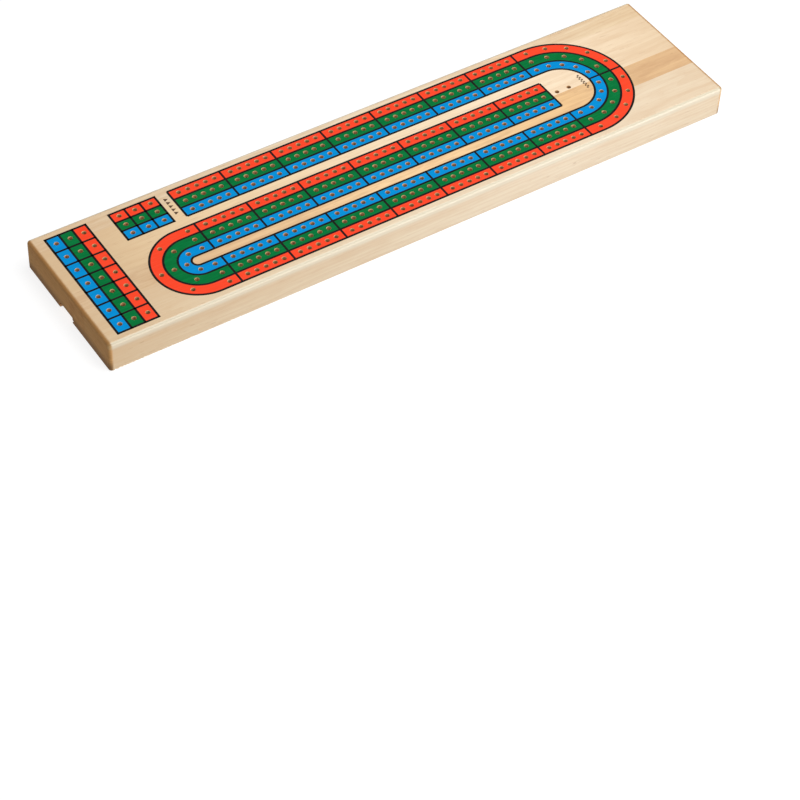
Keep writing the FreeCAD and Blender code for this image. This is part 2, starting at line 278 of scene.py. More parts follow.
def lengthwiseTones(tree, along, tones):
    share = addNode(tree, "MapRange", None, {
        "Value": along, "From Min": boardLow.x, "From Max": boardHigh.x})
    ramp = addNode(tree, "ValToRGB", None, {"Fac": share.outputs["Result"]})
    stops = ramp.color_ramp.elements
    while len(stops) < len(tones):
        stops.new(0.5)
    for stop, (place, tone) in zip(stops, tones):
        stop.position, stop.color = place, hexColour(tone)
    return ramp.outputs["Color"]


def yearRings(tree, place, looks, away):
    # distance from the heart of the tree, which wanders along the trunk, counted in years
    turn = looks["turn"]
    wander = grain(tree, *maple["ringWander"], turn=turn, offset=away)
    log = addNode(tree, "Mapping", None, {
        "Vector": place, "Location": [-p for p in looks["pith"]],
        "Rotation": (0, math.radians(turn / maple["tip"]), math.radians(turn)),
        "Scale": (0, 1, 1)})
    reach = addNode(tree, "VectorMath", {"operation": "LENGTH"}, {0: log.outputs["Vector"]})
    count = addNode(tree, "Math", {"operation": "DIVIDE"},
                    {0: reach.outputs["Value"], 1: looks["rings"]})
    bent = addNode(tree, "Math", {"operation": "MULTIPLY_ADD"},
                   {0: wander, 1: maple["wanderRings"], 2: count.outputs["Value"]})
    return addNode(tree, "Math", {"operation": "FRACT"},
                   {0: bent.outputs["Value"]}).outputs["Value"]


def addFigure(tree, colour, years, fibres, looks, away):
    # late wood in each ring, broad streaks, cloudy figure, fibres, and short brown flecks
    turn, deep, figure = looks["turn"], looks["deep"], looks["figure"]
    streaks = grain(tree, *maple["streaks"], turn=turn, offset=away)
    clouds = grain(tree, *maple["clouds"], detail=3, turn=turn * maple["cloudTurn"],
                   offset=away)
    flecks = grain(tree, *maple["flecks"], detail=0, turn=turn, offset=away)
    return layTones(tree, colour, (
        (years, *maple["lateWood"], 0.0, looks["ringDepth"], deep),
        (streaks, *maple["streakFade"], 0.0, figure, deep),
        (clouds, *maple["cloudFade"], 0.0, figure, deep),
        (fibres, *maple["fibreFade"], 0.0, maple["fibreShare"], deep),
        (flecks, *maple["fleckFade"], 0.0, maple["fleckShare"], maple["fleckTone"])))


def underTop(height, start, full, share, tone):
    # a layer of tone that comes up towards the top face
    return height, boardHigh.z - start, boardHigh.z - full, 0.0, share, tone


def paintLongEdgeHighlight(tree, colour, across, height):
    # painted highlight on the long top edges: a paler, whiter tone painted below the round, and a
    # greyer one on it
    start, full = finish["highlightReach"]
    besides = addNode(tree, "Math", {"operation": "ABSOLUTE"}, {0: across})
    highlitEdges = addNode(tree, "MapRange", smoothly, {
        "Value": besides.outputs["Value"], "From Min": boardHigh.y - start,
        "From Max": boardHigh.y - full})
    return layTones(tree, colour, (underTop(height, *finish["highlitEdges"]),
                                   underTop(height, *finish["eased"])),
                    within=highlitEdges.outputs["Result"])


def soakEnds(tree, colour, height, away):
    # the ends drink the lacquer: layered brown end grain, a golden-brown band under the top, and
    # a painted shade that darkens the foot
    soaked = addNode(tree, "Mix", {**asColours, "blend_type": "MULTIPLY"}, {
        0: 1.0, mixA: colour, mixB: hexColour(finish["soakTone"])})
    layers = grain(tree, *finish["endLayers"], detail=3, offset=away,
                   upright=finish["endLayerHeight"])
    # painted shade: the foot of each end is painted darker, where little light reaches near the
    # floor
    low, high, share, tone = finish["footShade"]
    return layTones(tree, soaked.outputs[mixOut], (
        (layers, *finish["endLayerFade"], 0.0, finish["endLayerShare"],
         finish["endLayerTone"]),
        (height, low, high, share, 0.0, tone),
        underTop(height, *finish["arris"])))


def makeMaple(name, looks):
    # hard maple, planed and sanded along the grain, then sprayed with satin lacquer:
    # even cream wood that changes tone along its length, partly its own tone and partly painted
    # shade, darker towards the low-x end; faint growth rings, soft cloudy figure
    material, tree, shader = newMaterial(name, **{
        "IOR": 1.5, "Specular IOR Level": 0.35, "Coat Roughness": 0.15})
    away = [looks["seed"] * times for times in (1, 1.7, 2.3)]  # its own part of the noise
    place = addNode(tree, "TexCoord").outputs["Object"]
    along, across, height = addNode(tree, "SeparateXYZ", None, {0: place}).outputs
    plain = lengthwiseTones(tree, along, looks["tones"])
    years = yearRings(tree, place, looks, away)
    fibres = grain(tree, *maple["fibres"], turn=looks["turn"], offset=away)
    figured = addFigure(tree, plain, years, fibres, looks, away)
    # the long top edges get a painted highlight
    highlitEdges = paintLongEdgeHighlight(tree, figured, across, height)
    soaked = soakEnds(tree, highlitEdges, height, away)

    # from face to end grain, the colour, the coat and the roughness change over together
    start, full = finish["soak"]
    beyond = addNode(tree, "Math", {"operation": "ABSOLUTE"}, {0: along})
    change = addNode(tree, "Mix", asColours, {mixA: highlitEdges, mixB: soaked})
    tree.links.new(change.outputs[mixOut], shader.inputs["Base Color"])
    for socket, (face, end) in ((change.inputs[0], (0.0, 1.0)),
                                (shader.inputs["Coat Weight"], maple["coat"]),
                                (shader.inputs["Roughness"], maple["roughness"])):
        share = addNode(tree, "MapRange", smoothly, {
            "Value": beyond.outputs["Value"], "From Min": boardHigh.x - start,
            "From Max": boardHigh.x - full, "To Min": face, "To Max": end})
        tree.links.new(share.outputs["Result"], socket)
    bump = addNode(tree, "Bump", None, {
        "Strength": 0.2, "Distance": maple["relief"], "Height": fibres})
    tree.links.new(bump.outputs["Normal"], shader.inputs["Normal"])
    return material


cutWood = dict(fuzz=0.8 * mm, tones=("#BF9263", "#DFBA8C"), relief=0.05 * mm)


def makeDrilledMaple():
    # the same maple as a drill or cutter leaves it: no lacquer, rough and slightly scorched
    material, tree, shader = newMaterial("drilled_maple", **{"Roughness": 0.8, "IOR": 1.45})
    fuzz = grain(tree, cutWood["fuzz"], cutWood["fuzz"], detail=3, roughness=0.5)
    dark, pale = map(hexColour, cutWood["tones"])
    mix = addNode(tree, "Mix", asColours, {0: fuzz, mixA: dark, mixB: pale})
    tree.links.new(mix.outputs[mixOut], shader.inputs["Base Color"])
    bump = addNode(tree, "Bump", None, {
        "Strength": 0.4, "Distance": cutWood["relief"], "Height": fuzz})
    tree.links.new(bump.outputs["Normal"], shader.inputs["Normal"])
    return material


screenInk = dict(unevenness=(9 * mm, 0.9 * mm), fade=(0.35, 0.75), relief=0.02 * mm)


def makeInk(name, colour, thin):
    # screen-printed ink, laid flat and matt, a little thinner where the grain stands proud
    material, tree, shader = newMaterial(name, **{"Roughness": 0.6, "Specular IOR Level": 0.05})
    low, high = screenInk["fade"]
    proud = addNode(tree, "MapRange", smoothly, {
        "Value": grain(tree, *screenInk["unevenness"]), "From Min": low, "From Max": high})
    mix = addNode(tree, "Mix", asColours, {
        0: proud.outputs["Result"], mixA: hexColour(colour), mixB: hexColour(thin)})
    tree.links.new(mix.outputs[mixOut], shader.inputs["Base Color"])
    bump = addNode(tree, "Bump", None, {
        "Strength": 0.15, "Distance": screenInk["relief"], "Height": proud.outputs["Result"]})
    tree.links.new(bump.outputs["Normal"], shader.inputs["Normal"])
    return material


nickel = dict(brushing=(45 * mm, 0.3 * mm), patches=(14 * mm, 9 * mm),
              tones=("#AAA69E", "#BDB9B2"), lineFade=(0.35, 0.7), lineShare=0.35,
              lineTone="#8F8B84", glossFade=(0.25, 0.75), roughness=(0.24, 0.42),
              relief=0.01 * mm)


def makeNickelSteel():
    # cold-rolled steel strip, nickel plated and brushed along its length: soft grey-warm
    # gloss, drawn out in fine lines that are coarser here than real ones, so that they show
    material, tree, shader = newMaterial("brushed_nickel_steel", **{
        "Metallic": 1.0, "Anisotropic": 0.5, "Anisotropic Rotation": 0.25})
    brushing = grain(tree, *nickel["brushing"], detail=3)
    dark, pale = map(hexColour, nickel["tones"])
    patchy = addNode(tree, "Mix", asColours, {
        0: grain(tree, *nickel["patches"]), mixA: dark, mixB: pale})
    colour = layTones(tree, patchy.outputs[mixOut], (
        (brushing, *nickel["lineFade"], 0.0, nickel["lineShare"], nickel["lineTone"]),))
    tree.links.new(colour, shader.inputs["Base Color"])
    low, high = nickel["glossFade"]
    smoothest, roughest = nickel["roughness"]
    gloss = addNode(tree, "MapRange", smoothly, {
        "Value": brushing, "From Min": low, "From Max": high, "To Min": smoothest,
        "To Max": roughest})
    tree.links.new(gloss.outputs["Result"], shader.inputs["Roughness"])
    bump = addNode(tree, "Bump", None, {
        "Strength": 0.3, "Distance": nickel["relief"], "Height": brushing})
    tree.links.new(bump.outputs["Normal"], shader.inputs["Normal"])
    return material


polystyrene = dict(clouds=(6 * mm, 4 * mm), scuffs=(2 * mm, 0.4 * mm), scuffFade=(0.3, 0.8),
                   roughness=(0.18, 0.34))


def makePegPlastic(name, colour, dark):
    # polystyrene pegs, moulded glossy, with a faint cloudiness in the colour
    material, tree, shader = newMaterial(name, **{
        "IOR": 1.59, "Subsurface Weight": 0.05, "Subsurface Scale": 0.5 * mm})
    mix = addNode(tree, "Mix", asColours, {
        0: grain(tree, *polystyrene["clouds"]), mixA: hexColour(colour),
        mixB: hexColour(dark)})
    tree.links.new(mix.outputs[mixOut], shader.inputs["Base Color"])
    low, high = polystyrene["scuffFade"]
    smoothest, roughest = polystyrene["roughness"]
    scuffs = addNode(tree, "MapRange", smoothly, {
        "Value": grain(tree, *polystyrene["scuffs"], detail=3), "From Min": low,
        "From Max": high, "To Min": smoothest, "To Max": roughest})
    tree.links.new(scuffs.outputs["Result"], shader.inputs["Roughness"])
    return material


drilledMaple = makeDrilledMaple()
nickelSteel = makeNickelSteel()
print("materials ready")


# floor and light

# floorTone lights the object; shownTone and shownGlow are what is seen of the floor, itself and
# in gloss; rays shorter than clearBelow pass through it
studio = dict(floorSize=8.0, floorDrop=0.05 * mm, clearBelow=15 * mm, floorTone="#969696",
              shownTone="#8A8A8A", shownGlow=0.82, skyLight=0.3)
white = (1, 1, 1, 1)
lamps = (dict(name="underside_softbox", place=(0.05, -0.05, -1.3), size=(0.5, 0.5), power=11),
         dict(name="overhead_softbox", place=(0.25, -0.3, 1.35), size=(1.0, 1.0), power=13.6),
         dict(name="front_softbox", place=(0.65, -1.45, 0.42), size=(1.3, 0.8), power=17))


def seesBackdrop(tree):
    # camera, glossy and transmission rays meet a plain white studio
    path = addNode(tree, "LightPath")
    total = path.outputs["Is Camera Ray"]
    for name in ("Is Glossy Ray", "Is Transmission Ray"):
        total = addNode(tree, "Math", {"operation": "ADD", "use_clamp": True},
                        {0: total, 1: path.outputs[name]}).outputs["Value"]
    return total


def makeFloor():
    bpy.ops.mesh.primitive_plane_add(size=studio["floorSize"],
                                     location=(0, 0, -studio["floorDrop"]))
    floor = newest("floor")
    material = bpy.data.materials.new("white_floor")
    material.use_nodes = True
    tree = material.node_tree
    tree.nodes.clear()
    matt = addNode(tree, "BsdfDiffuse", None, {"Color": hexColour(studio["floorTone"])})
    shown = addNode(tree, "BsdfDiffuse", None, {"Color": hexColour(studio["shownTone"])})
    glow = addNode(tree, "Emission", None, {"Color": white, "Strength": studio["shownGlow"]})
    lifted = addNode(tree, "AddShader", None,
                     {0: shown.outputs[0], 1: glow.outputs[0]})
    surface = addNode(tree, "MixShader", None,
                      {0: seesBackdrop(tree), 1: matt.outputs[0], 2: lifted.outputs[0]})

    # seen from below, and close under the object, the floor is clear, so the underside is lit
    behind = addNode(tree, "NewGeometry").outputs["Backfacing"]
    close = addNode(tree, "Math", {"operation": "LESS_THAN"}, {
        0: addNode(tree, "LightPath").outputs["Ray Length"],
        1: studio["clearBelow"]}).outputs["Value"]
    either = addNode(tree, "Math", {"operation": "MAXIMUM"}, {0: behind, 1: close})
    clear = addNode(tree, "BsdfTransparent")
    surface = addNode(tree, "MixShader", None, {
        0: either.outputs["Value"], 1: surface.outputs[0], 2: clear.outputs[0]})
    addNode(tree, "OutputMaterial", None, {"Surface": surface.outputs[0]})
    floor.data.materials.append(material)


def makeSky():
    world = bpy.data.worlds.new("studio")
    bpy.context.scene.world = world
    world.use_nodes = True
    tree = world.node_tree
    tree.nodes.clear()
    soft = addNode(tree, "Background", None, {"Color": white, "Strength": studio["skyLight"]})
    plain = addNode(tree, "Background", None, {"Color": white, "Strength": 1.0})
    surface = addNode(tree, "MixShader", None,
                      {0: seesBackdrop(tree), 1: soft.outputs[0], 2: plain.outputs[0]})
    addNode(tree, "OutputWorld", None, {"Surface": surface.outputs[0]})


def hangLamps():
    for settings in lamps:
        lamp = bpy.data.lights.new(settings["name"], "AREA")
        lamp.shape = "RECTANGLE"
        lamp.size, lamp.size_y = settings["size"]
        lamp.energy = settings["power"]
        holder = bpy.data.objects.new(settings["name"], lamp)
        bpy.context.scene.collection.objects.link(holder)
        holder.location = settings["place"]
        holder.rotation_euler = (-holder.location).to_track_quat("-Z", "Y").to_euler()


makeFloor()
makeSky()
hangLamps()
bpy.context.scene.view_settings.view_transform = "Standard"
print("studio ready")


# the track and its peg holes, laid out from the start line

# lead: the straight run of the lanes before a bend; margin: from the ends of a bend's group to
# its first and last hole, in the wide bend as a share of the group's length
track = dict(groupLength=31.75 * mm, groups=7, holesPerGroup=5, holePitch=5.45 * mm,
             lanePitch=7.45 * mm, bandPitch=28.5 * mm, turnLead=8.9 * mm, turnMarginShare=0.125,
             returnLead=11.8 * mm, returnMargin=5.8 * mm, tallyInset=8.3 * mm,
             tallyColumn=8.05 * mm, tallyRows=7, tallyGap=13.1 * mm, blockPitch=9.35 * mm,
             blockGap=7.4 * mm, finishGap=4.2 * mm, finishPitch=8.0 * mm, finishHoles=2)
lanes = bands = (-1, 0, 1)
columns = 3  # in the starting block and in the tally
halfBand = 1.5 * track["lanePitch"]
halfTrack = track["bandPitch"] + halfBand
tallyLeft = boardLow.x + track["tallyInset"]
tallyRight = tallyLeft + columns * track["tallyColumn"]
blockLeft = tallyRight + track["tallyGap"]
blockRight = blockLeft + columns * track["blockPitch"]
startX = blockRight + track["blockGap"]
endX = startX + track["groups"] * track["groupLength"]
turnX = endX + track["turnLead"]
returnX = startX - track["returnLead"]
returnY = -track["bandPitch"] / 2


def spacedHoles(length, margin):
    step = (length - 2 * margin) / (track["holesPerGroup"] - 1)
    return [margin + i * step for i in range(track["holesPerGroup"])]


def bendPoint(lineX, side, middleY, radius, lead, run):
    # a place so far along a lane that leads out straight, bends back and leads in again
    arc = math.pi * radius
    if run < lead:
        return lineX + side * run, middleY + radius
    if run > lead + arc:
        return lineX + side * (2 * lead + arc - run), middleY - radius
    turn = (run - lead) / radius
    return lineX + side * (lead + radius * math.sin(turn)), middleY + radius * math.cos(turn)


def holePlaces():
    group, pitch = track["groupLength"], track["lanePitch"]
    straightMargin = (group - (track["holesPerGroup"] - 1) * track["holePitch"]) / 2
    for band in bands:
        for lane in lanes:
            y = band * track["bandPitch"] + lane * pitch
            for number in range(track["groups"]):
                for run in spacedHoles(group, straightMargin):
                    yield startX + number * group + run, y
    for lane in lanes:
        radius = track["bandPitch"] + lane * pitch
        quarter = track["turnLead"] + math.pi * radius / 2
        for run in spacedHoles(quarter, track["turnMarginShare"] * quarter):
            for distance in (run, 2 * quarter - run):
                yield bendPoint(endX, 1, 0, radius, track["turnLead"], distance)
        radius = track["bandPitch"] / 2 + lane * pitch
        whole = 2 * track["returnLead"] + math.pi * radius
        for run in spacedHoles(whole, track["returnMargin"]):
            yield bendPoint(startX, -1, returnY, radius, track["returnLead"], run)
        for column in range(columns):
            yield (blockRight - (column + 0.5) * track["blockPitch"],
                   track["bandPitch"] + lane * pitch)
    for column in range(columns):
        for row in range(track["tallyRows"]):
            yield (tallyLeft + (column + 0.5) * track["tallyColumn"],
                   halfTrack * (2 * row + 1 - track["tallyRows"]) / track["tallyRows"])
    for number in range(track["finishHoles"]):
        yield endX + track["finishGap"] + number * track["finishPitch"], 0.0


# a twist drill's hole: point, wall, and the edge eased by sanding

# floor: how high over the underside the point ends; above: how far the drill stands out on top
drill = dict(sides=16, radius=1.25 * mm, floor=10.5 * mm, point=0.75 * mm, eased=0.12 * mm,
             easedRadius=1.36 * mm, above=1.0 * mm)


def makeDrill():
    top, shoulder = boardHigh.z, drill["floor"] + drill["point"]
    bpy.ops.mesh.primitive_circle_add(vertices=drill["sides"], radius=drill["radius"],
                                      fill_type="NGON", location=(0, 0, shoulder))
    tool = settle(newest("drill"))
    stations = ((top - drill["eased"], 1.0), (top, drill["easedRadius"] / drill["radius"]),
                (top + drill["above"], 1.0))
    height = shoulder
    editAll(tool)
    for level, widen in stations:
        bpy.ops.mesh.extrude_region_move(TRANSFORM_OT_translate={"value": (0, 0, level - height)})
        bpy.ops.transform.resize(value=(widen, widen, 1), center_override=(0, 0, level))
        height = level
    leaveEdit()
    editWhere(tool, "FACE", lambda corners: all(c.z < shoulder + hair for c in corners))
    bpy.ops.mesh.poke(offset=0)
    leaveEdit()
    editWhere(tool, "VERT", lambda corners: corners[0].xy.length < hair
              and corners[0].z < shoulder + hair)
    bpy.ops.transform.translate(value=(0, 0, -drill["point"]))
    leaveEdit()
    facingOut(tool)
    tool.data.materials.append(drilledMaple)
    return tool


def makeDrills():
    tool = makeDrill()
    copies = []
    for number, (x, y) in enumerate(holePlaces()):
        bit = copyOf(tool, f"drill_{number}")
        bit.data.transform(Matrix.Translation((x, y, 0)))
        copies.append(bit)
    bpy.data.objects.remove(tool)
    print("peg holes laid out:", len(copies))
    return joined("drills", copies)


drills = makeDrills()


# the peg compartment milled into the underside

# floors and tops: heights over the underside; below: how far the cutters stand out of it
compartment = dict(middleY=2.4 * mm, slotWidth=14.3 * mm, slotTop=4.4 * mm, kerfWidth=17.9 * mm,
                   kerfFloor=1.5 * mm, kerfTop=2.9 * mm, kerfPlay=0.3 * mm, wellWidth=12.7 * mm,
                   wellTop=9.2 * mm, wellInset=30 * mm, wellLength=118 * mm, below=2 * mm,
                   roundSides=48)


def milledRun(name, start, end, width, floor, top):
    # a slot with round ends, as a router leaves it
    radius, sides = width / 2, compartment["roundSides"]
    bpy.ops.mesh.primitive_circle_add(
        vertices=sides, radius=radius, fill_type="NGON", rotation=(0, 0, math.pi / sides),
        location=(end - radius, compartment["middleY"], floor))
    run = settle(newest(name))
    editWhere(run, "VERT", lambda corners: corners[0].x < end - radius)
    bpy.ops.transform.translate(value=(start + 2 * radius - end, 0, 0))
    leaveEdit()
    editAll(run)
    bpy.ops.mesh.extrude_region_move(TRANSFORM_OT_translate={"value": (0, 0, top - floor)})
    leaveEdit()
    facingOut(run)
    run.data.materials.append(drilledMaple)
    return run


def makeCompartment():
    size = compartment
    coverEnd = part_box("slide_cover")[1].x
    outside = boardLow.x - size["kerfWidth"]
    kerfEnd = coverEnd + size["kerfPlay"]
    slotEnd = kerfEnd - (size["kerfWidth"] - size["slotWidth"]) / 2
    wellStart = boardLow.x + size["wellInset"]
    return [
        milledRun("slot", outside, slotEnd, size["slotWidth"], -size["below"], size["slotTop"]),
        milledRun("kerf", outside, kerfEnd, size["kerfWidth"], size["kerfFloor"],
                  size["kerfTop"]),
        milledRun("well", wellStart, wellStart + size["wellLength"], size["wellWidth"],
                  -size["below"], size["wellTop"]),
    ]


# the board: one rounded plank, sawn into its four staves

plank = dict(cornerRadius=2 * mm, cornerSteps=10, topRound=2 * mm, topSteps=8,
             baseRound=0.8 * mm, baseSteps=5)
# deep: the tone of the late wood and the figure; rings: the width of a year; ringDepth, figure:
# how strong each is; pith: the heart of the tree; turn: how many degrees the grain runs off the
# board's line; tones: from end to end, the stave's own tone with painted shade, darker towards
# both ends, most at the low-x end
staves = (
    dict(node="near_stave", slot="maple", deep="#CFA679", rings=2.6 * mm, ringDepth=0.16,
         pith=(0, -35 * mm, -75 * mm), turn=1.2, seed=3.1, figure=0.2,
         tones=((0.0, "#DBBF98"), (0.19, "#E5CEAC"), (0.35, "#E9D5B6"), (0.7, "#F2E0C5"),
                (1.0, "#EBD7B9"))),
    dict(node="dark_stave", slot="dark_maple", deep="#B9875A", rings=3.4 * mm, ringDepth=0.16,
         pith=(0, 12 * mm, -48 * mm), turn=-2.0, seed=7.7, figure=0.3,
         tones=((0.1, "#DDBE95"), (0.2, "#E9C190"), (0.5, "#FFD8A2"), (0.78, "#F1C68D"),
                (0.9, "#E2B987"))),
    dict(node="light_stave", slot="maple", deep="#D3AC80", rings=3.0 * mm, ringDepth=0.14,
         pith=(0, 60 * mm, -60 * mm), turn=-0.9, seed=12.4, figure=0.2,
         tones=((0.05, "#D9BA90"), (0.25, "#F4D6AA"), (0.6, "#FBE3C0"), (0.8, "#FFE8C8"),
                (1.0, "#EDD3AF"))),
    dict(node="far_stave", slot="golden_maple", deep="#C89C6B", rings=2.2 * mm, ringDepth=0.2,
         pith=(0, 0, -40 * mm), turn=1.6, seed=21.9, figure=0.25,
         tones=((0.0, "#DFC29C"), (0.4, "#EFDBBC"), (0.78, "#F1DAB8"), (1.0, "#EED4AC"))),
)


def makePlank():
    size = boardHigh - boardLow
    bpy.ops.mesh.primitive_cube_add(size=1, location=(boardLow + boardHigh) / 2, scale=size)
    blank = settle(newest("plank"))
    rounds = (
        (lambda c: abs(c[0].z - c[1].z) > hair, plank["cornerRadius"], plank["cornerSteps"]),
        (lambda c: all(p.z > boardHigh.z - hair for p in c), plank["topRound"],
         plank["topSteps"]),
        (lambda c: all(p.z < hair for p in c), plank["baseRound"], plank["baseSteps"]),
    )
    for wanted, radius, steps in rounds:
        editWhere(blank, "EDGE", wanted)
        bpy.ops.mesh.bevel(offset=radius, segments=steps, profile=0.5, affect="EDGES",
                           clamp_overlap=False)
        leaveEdit()
    return blank


def makeStave(blank, settings, cutters):
    low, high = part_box(settings["node"])
    stave = copyOf(blank, settings["node"].replace("_stave", "_maple_stave"))
    for place, side in ((low.y, -1), (high.y, 1)):
        if boardLow.y + hair < place < boardHigh.y - hair:
            editAll(stave)
            bpy.ops.mesh.bisect(plane_co=(0, place, 0), plane_no=(0, side, 0), use_fill=True,
                                clear_outer=True)
            leaveEdit()
    stave.data.materials.append(makeMaple(stave.name, settings))
    for cutter in cutters:
        cutAway(stave, cutter)
    smooth(stave)
    print(stave.name, "made,", len(stave.data.polygons), "faces")
    finished(stave, "board", settings["slot"], [settings["node"]])


def makeBoard():
    blank = makePlank()
    milled = makeCompartment()
    for settings in staves:
        low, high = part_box(settings["node"])
        crossed = low.y < compartment["middleY"] + compartment["kerfWidth"] / 2 and (
            high.y > compartment["middleY"] - compartment["kerfWidth"] / 2)
        makeStave(blank, settings, (milled if crossed else []) + [drills])
    for used in [blank] + milled:
        bpy.data.objects.remove(used)


makeBoard()


# the printed track: coloured lanes and the black lines round them

# heights: how proud of the wood each film lies, its foot being sunk; inset: the outlines stand
# in from the edges of the colours they cover; offset: the screen sits a little off the holes
ink = dict(sunk=0.01 * mm, colourHeight=0.04 * mm, lineHeight=0.06 * mm, crossHeight=0.055 * mm,
           lineWidth=1.25 * mm, inset=0.3 * mm, offset=(-0.3 * mm, -0.13 * mm, 0),
           wideSteps=72, tightSteps=48, lineTones=("#121212", "#201F1E"),
           laneTones={"red": ("#FD4829", "#FE4E32"), "green": ("#006D35", "#067A3E"),
                      "blue": ("#008BD2", "#0495DA")})
laneInks = {1: "red", 0: "green", -1: "blue"}  # counted outwards from the middle of a bend


def raised(flat, height):
    # a flat print outline becomes a film of ink
    editAll(flat)
    bpy.ops.mesh.extrude_region_move(
        TRANSFORM_OT_translate={"value": (0, 0, height + ink["sunk"])})
    leaveEdit()
    facingOut(flat)
    return flat


def inkBar(name, left, right, low, high, height):
    middle = (left + right) / 2, (low + high) / 2
    bpy.ops.mesh.primitive_plane_add(size=1, location=(*middle, boardHigh.z - ink["sunk"]))
    bar = newest(name)
    bar.scale = (right - left, high - low, 1)
    return raised(settle(bar), height)


def inkRibbon(name, offset, width, height):
    # a lane, or a line, that follows the whole track: far band, wide bend, near band,
    # tight bend, middle band
    y, level = track["bandPitch"] + offset, boardHigh.z - ink["sunk"]
    bpy.ops.mesh.primitive_plane_add(size=1, location=((startX + turnX) / 2, y, level))
    ribbon = newest(name)
    ribbon.scale = (turnX - startX, width, 1)
    settle(ribbon)
    editWhere(ribbon, "EDGE", lambda corners: all(c.x > turnX - hair for c in corners))
    bpy.ops.mesh.spin(steps=ink["wideSteps"], angle=math.pi, center=(turnX, 0, level),
                      axis=(0, 0, 1))
    bpy.ops.mesh.extrude_region_move(
        TRANSFORM_OT_translate={"value": (returnX - turnX, 0, 0)})
    bpy.ops.mesh.spin(steps=ink["tightSteps"], angle=math.pi, center=(returnX, returnY, level),
                      axis=(0, 0, 1))
    bpy.ops.mesh.extrude_region_move(TRANSFORM_OT_translate={"value": (endX - returnX, 0, 0)})
    bpy.ops.mesh.select_all(action="SELECT")
    bpy.ops.mesh.remove_doubles(threshold=hair)
    leaveEdit()
    return raised(ribbon, height)


def registered(piece):
    piece.data.transform(Matrix.Translation(ink["offset"]))
    return piece


def makeLaneInk(lane):
    colour, height, pitch = laneInks[lane], ink["colourHeight"], track["lanePitch"]
    middle = track["bandPitch"] + lane * pitch
    column = tallyLeft + (lane + 1) * track["tallyColumn"]
    pieces = [
        inkRibbon(f"lane_{colour}", lane * pitch, pitch, height),
        inkBar(f"block_{colour}", blockLeft, blockRight, middle - pitch / 2, middle + pitch / 2,
               height),
        inkBar(f"tally_{colour}", column, column + track["tallyColumn"], -halfTrack, halfTrack,
               height),
    ]
    printed = registered(joined(f"printed_{colour}", pieces))
    printed.data.materials.append(makeInk(f"{colour}_screen_ink", *ink["laneTones"][colour]))
    cutAway(printed, drills)
    print(printed.name, "made,", len(printed.data.polygons), "faces")
    finished(printed, "board")


def evenly(low, high, count):
    return [low + (high - low) * i / count for i in range(count + 1)]


def grid(left, right, low, high, columns, rows):
    # the lines of a printed table, its outlines a little inside its colours
    inset, half = ink["inset"], ink["lineWidth"] / 2
    left, right, low, high = left + inset, right - inset, low + inset, high - inset
    for x in evenly(left, right, columns):
        yield x - half, x + half, low - half, high + half
    for y in evenly(low, high, rows):
        yield left - half, right + half, y - half, y + half


def crossLines():
    # every group of holes ends at a line across its three lanes
    reach, middle, half = halfBand - ink["inset"], track["bandPitch"], ink["lineWidth"] / 2
    for band in bands:
        for x in evenly(startX, endX, track["groups"]):
            yield x - half, x + half, band * middle - reach, band * middle + reach
    yield turnX + middle - reach, turnX + middle + reach, -half, half
    yield from grid(blockLeft, blockRight, middle - halfBand, middle + halfBand, columns,
                    len(lanes))
    yield from grid(tallyLeft, tallyRight, -halfTrack, halfTrack, columns, track["tallyRows"])


def makeLines():
    edge, inner = halfBand - ink["inset"], track["lanePitch"] / 2
    pieces = [inkRibbon(f"line_{i}", offset, ink["lineWidth"], ink["lineHeight"])
              for i, offset in enumerate((-edge, -inner, inner, edge))]
    for number, sides in enumerate(crossLines()):
        pieces.append(inkBar(f"cross_{number}", *sides, ink["crossHeight"]))
    lines = registered(joined("printed_lines", pieces))
    lines.data.materials.append(makeInk("black_screen_ink", *ink["lineTones"]))
    finished(lines, "board")


# plain marks where play begins and ends: a row of arrowheads, and a chequered bar

# arrowTip: what is left of an arrowhead's width at its point
marks = dict(arrows=5, arrowLength=2.3 * mm, arrowHalf=1.2 * mm, arrowPitch=2.9 * mm,
             arrowTip=0.04, checkSide=1.0 * mm, checkRows=12, checkX=129.0 * mm,
             height=0.03 * mm, tones=("#5A4433", "#6B5340"))


def makeMarks():
    pieces = []
    middle = (blockRight + startX) / 2
    for number in range(marks["arrows"]):
        y = track["bandPitch"] + (number - (marks["arrows"] - 1) / 2) * marks["arrowPitch"]
        arrow = inkBar(f"arrow_{number}", middle - marks["arrowLength"] / 2,
                       middle + marks["arrowLength"] / 2, y - marks["arrowHalf"],
                       y + marks["arrowHalf"], marks["height"])
        editWhere(arrow, "VERT", lambda corners: corners[0].x > middle)
        bpy.ops.transform.resize(value=(1, marks["arrowTip"], 1),
                                 center_override=(middle, y, boardHigh.z))
        leaveEdit()
        pieces.append(arrow)
    side = marks["checkSide"]
    for row in range(marks["checkRows"]):
        left = marks["checkX"] + (row % 2) * side
        low = (row - marks["checkRows"] / 2) * side
        pieces.append(inkBar(f"check_{row}", left, left + side, low, low + side,
                             marks["height"]))
    printed = joined("printed_marks", pieces)
    printed.data.materials.append(makeInk("brown_screen_ink", *marks["tones"]))
    finished(printed, "board")


for lane in lanes:
    makeLaneInk(lane)
makeLines()
makeMarks()
bpy.data.objects.remove(drills)
print("track printed")


# the sliding cover

cover = dict(thickness=1.0 * mm, cornerRadius=1.5 * mm, cornerSteps=6, endSteps=24,
             eased=0.15 * mm, easedSteps=3, dimpleInset=9 * mm, dimpleRadius=4.5 * mm,
             dimpleHeight=0.7 * mm, dimpleRings=7, dimpleSides=40, creaseAngle=30)


